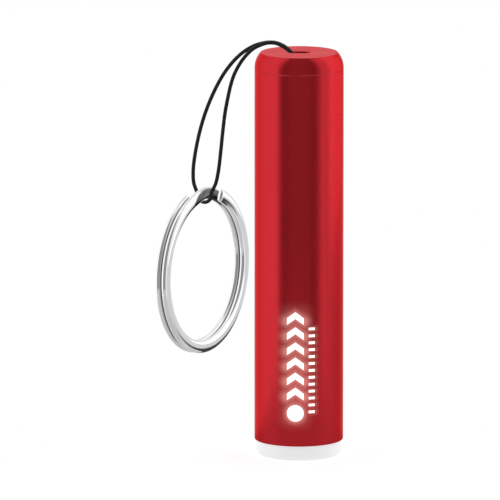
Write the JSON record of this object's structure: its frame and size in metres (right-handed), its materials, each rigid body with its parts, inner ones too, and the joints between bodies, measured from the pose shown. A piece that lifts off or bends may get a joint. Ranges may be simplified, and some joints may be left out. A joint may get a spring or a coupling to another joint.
{
  "type": "keychain flashlight",
  "caption": "Key ring flashlight: slim painted barrel on a white translucent head, screw cap that works as the switch, and a split ring on a cord loop through the cap.",
  "frame": {"origin": "on the barrel's axis, at the surface the flashlight stands on, under the head lens", "axes": "+Z along the barrel from the head lens to the screw cap; -Y towards the engraved mark; the key ring hangs on the -X side"},
  "size_m": [0.0381, 0.0302, 0.0848],
  "materials": {
    "red_lacquer": "satin metallic lacquer on plastic",
    "milky_lens": "translucent milky white",
    "milky_pipe": "translucent milky white",
    "reflector_silver": "metallised",
    "led_epoxy": "clear epoxy",
    "tinned_wire": "tinned",
    "board_green": "solder mask",
    "resistor_black": "matt",
    "leaf_brass": "spring brass",
    "contact_steel": "nickel plated",
    "holder_black": "moulded",
    "cell_steel": "nickel plated",
    "o_ring_rubber": "matt",
    "seat_ivory": "moulded",
    "cord_black": "twisted waxed cord",
    "ring_nickel": "nickel plated spring wire"
  },
  "bodies": {
    "torch": {"barrel_tube": "red_lacquer", "head_lens": "milky_lens", "light_pipe": "milky_pipe", "reflector": "reflector_silver", "led_body": "led_epoxy", "led_legs": "tinned_wire", "circuit_board": "board_green", "resistor": "resistor_black", "solder_joints": "tinned_wire", "positive_leaf": "leaf_brass", "ground_strip": "contact_steel", "battery_holder": "holder_black", "coin_cell_1": "cell_steel", "coin_cell_2": "cell_steel", "coin_cell_3": "cell_steel", "threaded_collar": "holder_black"},
    "cap_contact": {"contact_disc": "contact_steel", "contact_spring": "contact_steel"},
    "tail_cap": {"tail_cap": "red_lacquer", "cap_o_ring": "o_ring_rubber", "spring_seat": "seat_ivory", "cord_knot": "cord_black"},
    "cord": {"cord_loop": "cord_black"},
    "key_ring": {"split_ring": "ring_nickel"}
  },
  "joints": [
    {"name": "cap_lift", "type": "slide", "parent": "torch", "child": "cap_contact", "axis": [0, 0, 1], "range_m": [0, 0.003], "deforming": ["contact_spring"]},
    {"name": "cap_turn", "type": "hinge", "parent": "cap_contact", "child": "tail_cap", "pos_m": [0, 0, 0.0791], "axis": [0, 0, 1], "range_deg": [0, 1080]},
    {"name": "cord_swing", "type": "hinge", "parent": "tail_cap", "child": "cord", "pos_m": [-0.001, 0, 0.0818], "axis": [0, 1, 0], "range_deg": [0, 110]},
    {"name": "ring_swing", "type": "hinge", "parent": "cord", "child": "key_ring", "pos_m": [-0.0192, 0.0016, 0.0532], "axis": [0.5057, 0.862, -0.0349], "range_deg": [-10, 90]}
  ],
  "couplings": [
    {"joint": "cap_lift", "follows": "cap_turn", "m_per_rad": 0.00015915}
  ]
}
